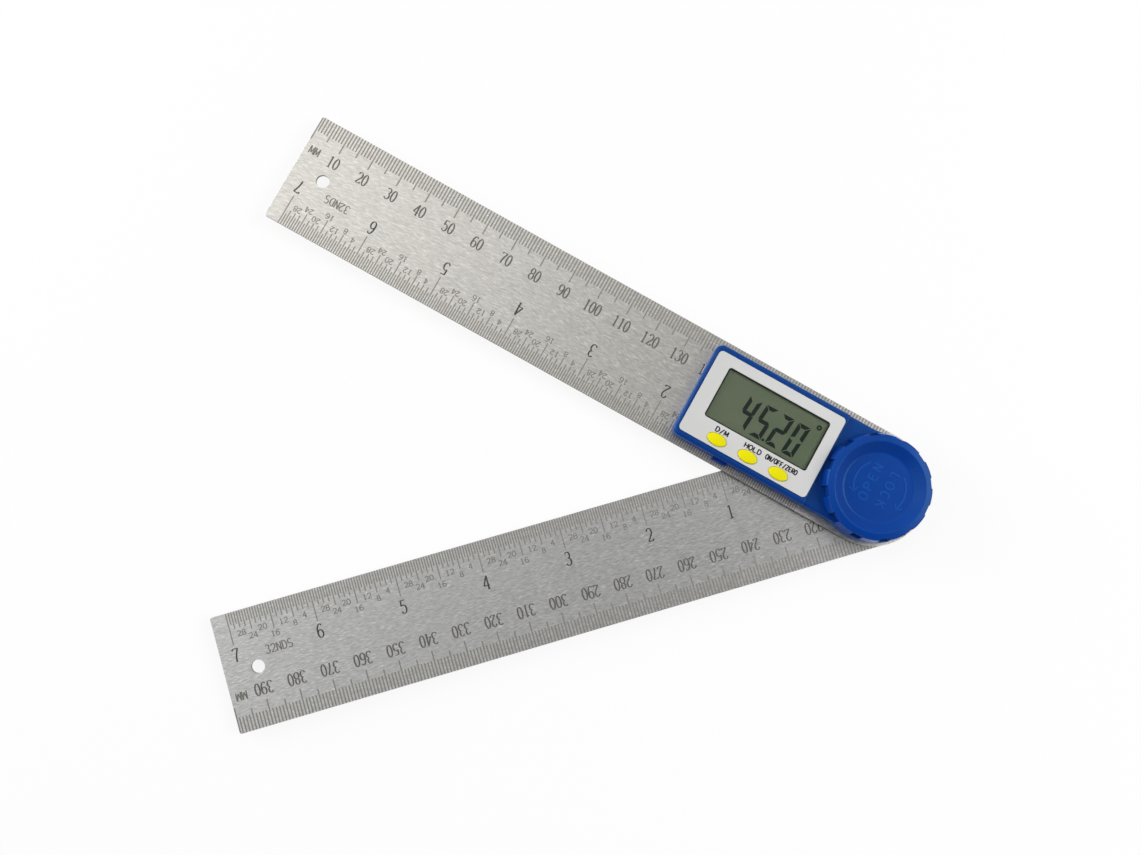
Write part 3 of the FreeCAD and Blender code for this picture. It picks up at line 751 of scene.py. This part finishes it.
def arrow(start, end):
    """Curved arrow that points from a start angle to an end angle."""
    shaft = [on_arrow(ARROW_RADIUS, start + (end - start) * step / SHAFT_STEPS)
             for step in range(SHAFT_STEPS + 1)]
    relief.ribbon(shaft, [SHAFT_WIDTH * MM] * len(shaft))
    way = 1 if end > start else -1
    for spread in (-ARROW_SPREAD, ARROW_SPREAD):
        wing = [on_arrow(ARROW_RADIUS + spread, end - way * 5),
                on_arrow(ARROW_RADIUS, end + way * 4)]
        relief.ribbon(wing, [WING_WIDTH * MM] * 2)


arrow(49.0, -22.0)
arrow(138.0, 213.0)
for word, x, middle, step, turn in (("LOCK", 2.75, 0.4, -3.1, -math.pi / 2),
                                    ("OPEN", -2.85, 0.3, 3.2, math.pi / 2)):
    for index, letter in enumerate(word):
        y = middle + (index - 1.5) * step
        write(relief, letter, x * MM, y * MM, LETTER_HEIGHT * MM, LETTER_WIDTH * MM, turn,
              0.19, 0.17)
# Painted highlight: the raised marks are the knob's own plastic, painted a lighter blue for the
# light their raised strokes catch.
relief_blue_painted_highlight = moulded_paint("relief_blue_painted_highlight", (11, 72, 164), (9, 68, 158), 0.36, 0.35, edge=0.03,
                            sheen=BLUE_SHEEN)
relief.build(relief_blue_painted_highlight, "knob")


# Stage, sizes in metres
FLOOR_SIZE = 6.0
FLOOR_LEVEL = -0.05 * MM
FLOOR_TONE = 0.93
NEAR_AND_FAR = (0.4, 1.3)
WHITE_SHARES = (0.84, 1.0)


def stage_floor():
    bpy.ops.mesh.primitive_plane_add(size=FLOOR_SIZE, location=(0, 0, FLOOR_LEVEL))
    floor = bpy.context.object
    floor.name = "floor"
    material = bpy.data.materials.new("pale_floor")
    tree = emptied_tree(material)
    output = tree.nodes.new("ShaderNodeOutputMaterial")
    diffuse = tree.nodes.new("ShaderNodeBsdfDiffuse")
    diffuse.inputs["Color"].default_value = (FLOOR_TONE, FLOOR_TONE, FLOOR_TONE, 1.0)
    glow = tree.nodes.new("ShaderNodeEmission")
    glow.inputs["Strength"].default_value = 1.0
    mix = tree.nodes.new("ShaderNodeMixShader")
    share = tree.nodes.new("ShaderNodeMath")
    share.operation = "MULTIPLY"
    tree.links.new(white_with_distance(tree), share.inputs[1])
    tree.links.new(seen_directly(tree), share.inputs[0])
    tree.links.new(share.outputs[0], mix.inputs[0])
    tree.links.new(diffuse.outputs[0], mix.inputs[1])
    tree.links.new(glow.outputs[0], mix.inputs[2])
    tree.links.new(mix.outputs[0], output.inputs["Surface"])
    floor.data.materials.append(material)


def white_with_distance(tree):
    """Share of plain white in the floor: it keeps shadows near the part and has no horizon."""
    coordinates = tree.nodes.new("ShaderNodeTexCoord")
    distance = tree.nodes.new("ShaderNodeVectorMath")
    distance.operation = "LENGTH"
    share = tree.nodes.new("ShaderNodeMapRange")
    share.inputs["From Min"].default_value, share.inputs["From Max"].default_value = NEAR_AND_FAR
    share.inputs["To Min"].default_value, share.inputs["To Max"].default_value = WHITE_SHARES
    tree.links.new(coordinates.outputs["Object"], distance.inputs[0])
    tree.links.new(distance.outputs["Value"], share.inputs["Value"])
    return share.outputs["Result"]


def seen_directly(tree):
    """1 for rays from the camera and for rays that gloss or glass sends on."""
    path = tree.nodes.new("ShaderNodeLightPath")
    sources = [path.outputs[name] for name in ("Is Camera Ray", "Is Glossy Ray",
                                               "Is Transmission Ray")]
    result = sources[0]
    for source in sources[1:]:
        largest = tree.nodes.new("ShaderNodeMath")
        largest.operation = "MAXIMUM"
        tree.links.new(result, largest.inputs[0])
        tree.links.new(source, largest.inputs[1])
        result = largest.outputs[0]
    return result


# Sky brightness overhead, how it grows along X and Y, its range, and its value near the horizon
SKY_ABOVE = 0.42
SKY_LEAN = (-2.7, 0.75, 0.0)
SKY_RANGE = (0.04, 1.25)
SKY_ASIDE = 0.45
SKY_STEEPNESS = (0.35, 0.75)


def stage_world():
    """White for the camera; overhead, the sky that lights the part is brighter towards -X."""
    world = bpy.data.worlds.new("studio")
    bpy.context.scene.world = world
    tree = emptied_tree(world)
    output = tree.nodes.new("ShaderNodeOutputWorld")
    background = tree.nodes.new("ShaderNodeBackground")
    background.inputs["Color"].default_value = (1.0, 1.0, 1.0, 1.0)
    direction = tree.nodes.new("ShaderNodeTexCoord")
    lean = tree.nodes.new("ShaderNodeVectorMath")
    lean.operation = "DOT_PRODUCT"
    lean.inputs[1].default_value = SKY_LEAN
    sky = tree.nodes.new("ShaderNodeMapRange")
    low, high = SKY_RANGE
    sky.inputs["From Min"].default_value = low - SKY_ABOVE
    sky.inputs["From Max"].default_value = high - SKY_ABOVE
    sky.inputs["To Min"].default_value = low
    sky.inputs["To Max"].default_value = high
    parts = tree.nodes.new("ShaderNodeSeparateXYZ")
    steep = tree.nodes.new("ShaderNodeMapRange")
    steep.inputs["From Min"].default_value, steep.inputs["From Max"].default_value = SKY_STEEPNESS
    tree.links.new(direction.outputs["Generated"], parts.inputs[0])
    tree.links.new(parts.outputs["Z"], steep.inputs["Value"])
    glow = mix_values(tree, steep.outputs["Result"], SKY_ASIDE, sky.outputs["Result"])
    path = tree.nodes.new("ShaderNodeLightPath")
    seen = mix_values(tree, path.outputs["Is Camera Ray"], glow, 1.0)
    seen = mix_values(tree, path.outputs["Is Transmission Ray"], seen, 1.0)
    tree.links.new(direction.outputs["Generated"], lean.inputs[0])
    tree.links.new(lean.outputs["Value"], sky.inputs["Value"])
    tree.links.new(seen, background.inputs["Strength"])
    tree.links.new(background.outputs[0], output.inputs["Surface"])


LAMP_AIM = Vector((-0.07, -0.03, 0.0))


def lamp(name, place, power, size, in_gloss=True):
    """Square soft lamp aimed at the middle of the part; place in metres."""
    light = bpy.data.lights.new(name, "AREA")
    light.energy = power
    light.size = size
    holder = bpy.data.objects.new(name, light)
    bpy.context.scene.collection.objects.link(holder)
    holder.visible_glossy = in_gloss
    holder.location = Vector(place)
    holder.rotation_mode = "QUATERNION"
    holder.rotation_quaternion = (LAMP_AIM - holder.location).to_track_quat("-Z", "Y")


stage_floor()
stage_world()
lamp("key_lamp", (0.50, 0.50, 0.62), 1.0, 0.35, in_gloss=False)
lamp("side_lamp", (-0.80, -0.12, 0.20), 3.4, 0.4)
lamp("rim_lamp", (0.56, 0.34, 0.70), 4.5, 0.64)


# Camera at the photograph's angle, fitted to the ruler ticks
CAMERA_PLACE = Vector((-0.08485, -0.05748, 0.34715))
CAMERA_RIGHT = Vector((0.872828, 0.48694, 0.03257))
CAMERA_UP = Vector((-0.48793, 0.869375, 0.078174))
CAMERA_BACK = Vector((0.009751, -0.084124, 0.996408))


def photo_camera():
    camera = bpy.data.cameras.new("photo_camera")
    camera.sensor_width = 36.0
    camera.lens = 36.18
    camera.clip_start = 0.01
    camera.clip_end = 20.0
    holder = bpy.data.objects.new("photo_camera", camera)
    bpy.context.scene.collection.objects.link(holder)
    turn = Matrix((CAMERA_RIGHT, CAMERA_UP, CAMERA_BACK)).transposed().to_4x4()
    holder.matrix_world = Matrix.Translation(CAMERA_PLACE) @ turn
    bpy.context.scene.camera = holder


photo_camera()
bpy.context.scene.view_settings.view_transform = "Standard"
